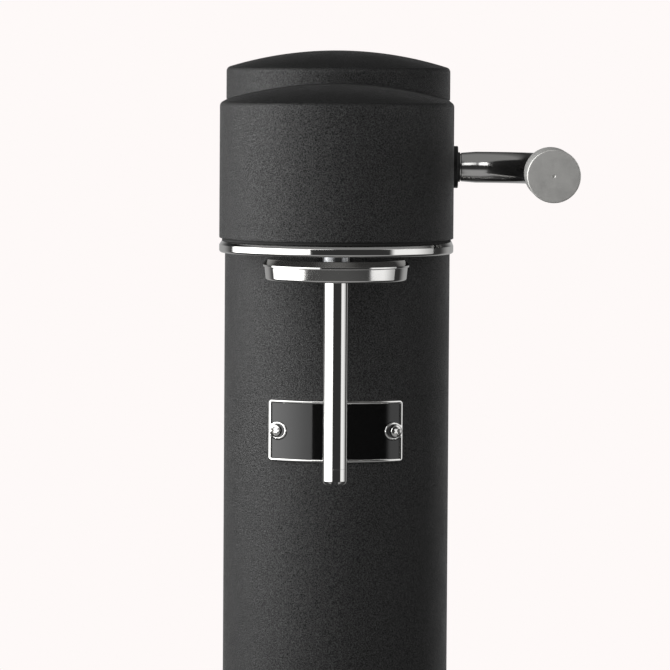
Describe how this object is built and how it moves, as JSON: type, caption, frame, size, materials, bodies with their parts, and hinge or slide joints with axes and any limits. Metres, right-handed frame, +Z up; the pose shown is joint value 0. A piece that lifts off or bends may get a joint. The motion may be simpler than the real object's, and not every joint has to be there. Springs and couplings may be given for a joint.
{
  "type": "soda carbonator",
  "caption": "Slim lever-operated soda carbonator: round column with gas cylinder, domed head with bottle mount and nozzle, bent side lever, flat base with drip tray.",
  "frame": {"origin": "centre of the footprint, on the table surface, under the rubber foot mat", "axes": "+Z up, -Y towards the user (front), +X towards the lever side"},
  "size_m": [0.1545, 0.258, 0.414],
  "materials": {
    "black_coat": "sand-textured matt black powder coat",
    "rubber": "matt black rubber",
    "black_nylon": "moulded black nylon",
    "polished_steel": "mirror-polished stainless steel",
    "spun_steel": "satin spun steel with a fine turned face",
    "plain_steel": "zinc-plated and turned steel",
    "cast_aluminium": "bead-blasted cast aluminium",
    "spring_steel": "drawn spring wire",
    "brass": "turned brass",
    "clear_tube": "milky pressure tube",
    "cylinder_paint": "satin grey paint"
  },
  "bodies": {
    "body": {"foot_mat": "rubber", "base_floor": "black_nylon", "base_shell": "black_coat", "base_screws": "plain_steel", "column_foot_ring": "black_nylon", "column_tube": "black_coat", "cylinder_guide_ring": "black_nylon", "column_collar": "cast_aluminium", "badge_plate": "polished_steel", "badge_screws": "polished_steel", "head_housing": "black_coat", "top_cap": "black_coat", "cap_ring": "black_nylon", "head_ring": "polished_steel", "ring_gasket": "rubber", "head_underplate": "polished_steel", "underplate_screws": "plain_steel", "chassis_plate": "cast_aluminium", "collar_screws": "plain_steel", "left_cheek": "cast_aluminium", "right_cheek": "cast_aluminium", "cheek_screws": "plain_steel", "outer_bush": "black_nylon", "bush_nut": "black_nylon", "shaft_bushes": "brass", "lever_spring": "spring_steel", "rocker_pin": "plain_steel", "valve_receiver": "brass", "receiver_screws": "plain_steel", "face_seal": "rubber", "plunger_spring": "spring_steel", "relief_body": "brass", "relief_spring": "spring_steel", "gas_tube": "clear_tube", "nozzle_block": "cast_aluminium", "block_screws": "plain_steel", "tilt_pin": "plain_steel"},
    "lever": {"lever_rod": "polished_steel", "lever_grip": "spun_steel", "grip_screw": "plain_steel", "lever_cam": "plain_steel", "cam_pin": "plain_steel", "shaft_clip": "plain_steel"},
    "rocker": {"rocker_arm": "plain_steel", "rocker_spacers": "black_nylon"},
    "plunger": {"plunger": "plain_steel"},
    "relief": {"relief_poppet": "plain_steel"},
    "cylinder": {"co2_cylinder": "cylinder_paint", "cylinder_valve": "brass"},
    "valve_pin": {"valve_pin": "plain_steel"},
    "bottle_mount": {"mount_stem": "polished_steel", "mount_disc": "polished_steel", "thread_insert": "black_nylon", "bottle_seal": "rubber", "nozzle_tube": "polished_steel", "nozzle_tip": "polished_steel"},
    "drip_tray": {"drip_tray": "polished_steel"}
  },
  "joints": [
    {"name": "lever_turn", "type": "hinge", "parent": "body", "child": "lever", "pos_m": [0, -0.019, 0.3628], "axis": [1, 0, 0], "range_deg": [0, 42], "stiffness_Nm_per_rad": 0.5, "springref_deg": -51.57, "deforming": ["lever_spring"]},
    {"name": "rocker_turn", "type": "hinge", "parent": "body", "child": "rocker", "pos_m": [0, 0.019, 0.383], "axis": [-1, 0, 0], "range_deg": [0, 3.9]},
    {"name": "plunger_slide", "type": "slide", "parent": "body", "child": "plunger", "axis": [0, 0, -1], "range_m": [0, 0.00204], "deforming": ["plunger_spring"]},
    {"name": "valve_pin_slide", "type": "slide", "parent": "cylinder", "child": "valve_pin", "axis": [0, 0, -1], "range_m": [0, 0.00204]},
    {"name": "relief_slide", "type": "slide", "parent": "body", "child": "relief", "axis": [1, 0, 0], "range_m": [0, 0.0015], "stiffness_N_per_m": 2000, "springref_m": -0.001, "deforming": ["relief_spring"]},
    {"name": "cylinder_withdraw", "type": "slide", "parent": "body", "child": "cylinder", "axis": [0, 0, -1], "range_m": [0, 0.36]},
    {"name": "mount_tilt", "type": "hinge", "parent": "body", "child": "bottle_mount", "pos_m": [0, -0.049, 0.345], "axis": [-1, 0, 0], "range_deg": [0, 8]},
    {"name": "tray_lift", "type": "slide", "parent": "body", "child": "drip_tray", "axis": [0, 0, 1], "range_m": [0, 0.06]}
  ],
  "couplings": [
    {"joint": "rocker_turn", "follows": "lever_turn", "ratio": 0.092857},
    {"joint": "plunger_slide", "follows": "lever_turn", "m_per_rad": 0.002784},
    {"joint": "valve_pin_slide", "follows": "lever_turn", "m_per_rad": 0.002784}
  ]
}
